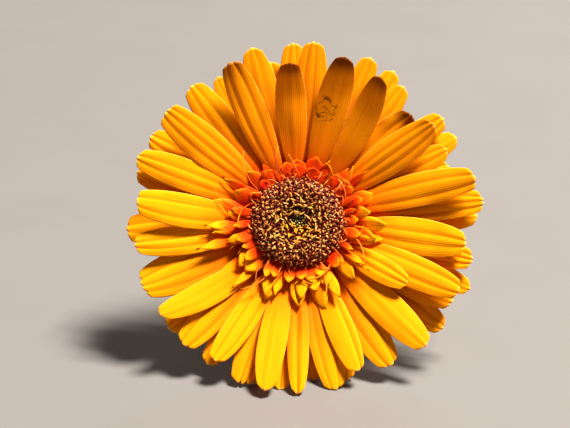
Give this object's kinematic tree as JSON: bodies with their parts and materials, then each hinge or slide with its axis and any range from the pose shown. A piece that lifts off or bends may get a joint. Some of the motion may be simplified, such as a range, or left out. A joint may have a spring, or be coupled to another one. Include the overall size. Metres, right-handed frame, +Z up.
{
  "type": "gerbera flower",
  "caption": "Cut daisy-like flower head with layered strap petals round a frilled dark disc, on a bare curved stem.",
  "frame": {"origin": "on the table, under the middle of the flower's bounding box", "axes": "+Z up; the stem runs back along +Y; the face looks towards -Y and 25 degrees up; +X to the right of someone facing the flower"},
  "size_m": [0.0984, 0.1852, 0.0884],
  "materials": {
    "ray_petal": "satin, finely veined, slightly translucent",
    "trans_petal": "satin, finely veined, slightly translucent",
    "disc_floret": "matt to satin, dense small florets",
    "green_tissue": "matt, finely hairy",
    "stem_skin": "satin, finely ribbed and hairy"
  },
  "bodies": {
    "root": {"front_ray_01": "ray_petal", "front_ray_02": "ray_petal", "front_ray_03": "ray_petal", "front_ray_04": "ray_petal", "front_ray_05": "ray_petal", "front_ray_06": "ray_petal", "front_ray_07": "ray_petal", "front_ray_08": "ray_petal", "front_ray_09": "ray_petal", "front_ray_10": "ray_petal", "front_ray_11": "ray_petal", "front_ray_12": "ray_petal", "front_ray_13": "ray_petal", "front_ray_14": "ray_petal", "front_ray_15": "ray_petal", "front_ray_16": "ray_petal", "front_ray_17": "ray_petal", "second_ray_01": "ray_petal", "second_ray_02": "ray_petal", "second_ray_03": "ray_petal", "second_ray_04": "ray_petal", "second_ray_05": "ray_petal", "second_ray_06": "ray_petal", "second_ray_07": "ray_petal", "second_ray_08": "ray_petal", "second_ray_09": "ray_petal", "second_ray_10": "ray_petal", "second_ray_11": "ray_petal", "second_ray_12": "ray_petal", "second_ray_13": "ray_petal", "second_ray_14": "ray_petal", "second_ray_15": "ray_petal", "third_ray_01": "ray_petal", "third_ray_02": "ray_petal", "third_ray_03": "ray_petal", "third_ray_04": "ray_petal", "third_ray_05": "ray_petal", "third_ray_06": "ray_petal", "third_ray_07": "ray_petal", "third_ray_08": "ray_petal", "third_ray_09": "ray_petal", "third_ray_10": "ray_petal", "third_ray_11": "ray_petal", "third_ray_12": "ray_petal", "third_ray_13": "ray_petal", "third_ray_14": "ray_petal", "third_ray_15": "ray_petal", "back_ray_01": "ray_petal", "back_ray_02": "ray_petal", "back_ray_03": "ray_petal", "back_ray_04": "ray_petal", "back_ray_05": "ray_petal", "short_ray_01": "ray_petal", "outer_trans_florets": "trans_petal", "inner_trans_florets": "trans_petal", "open_disc_florets": "disc_floret", "disc_floret_buds": "disc_floret", "receptacle": "green_tissue", "involucre_bracts": "green_tissue", "stem": "stem_skin"}
  },
  "joints": []
}
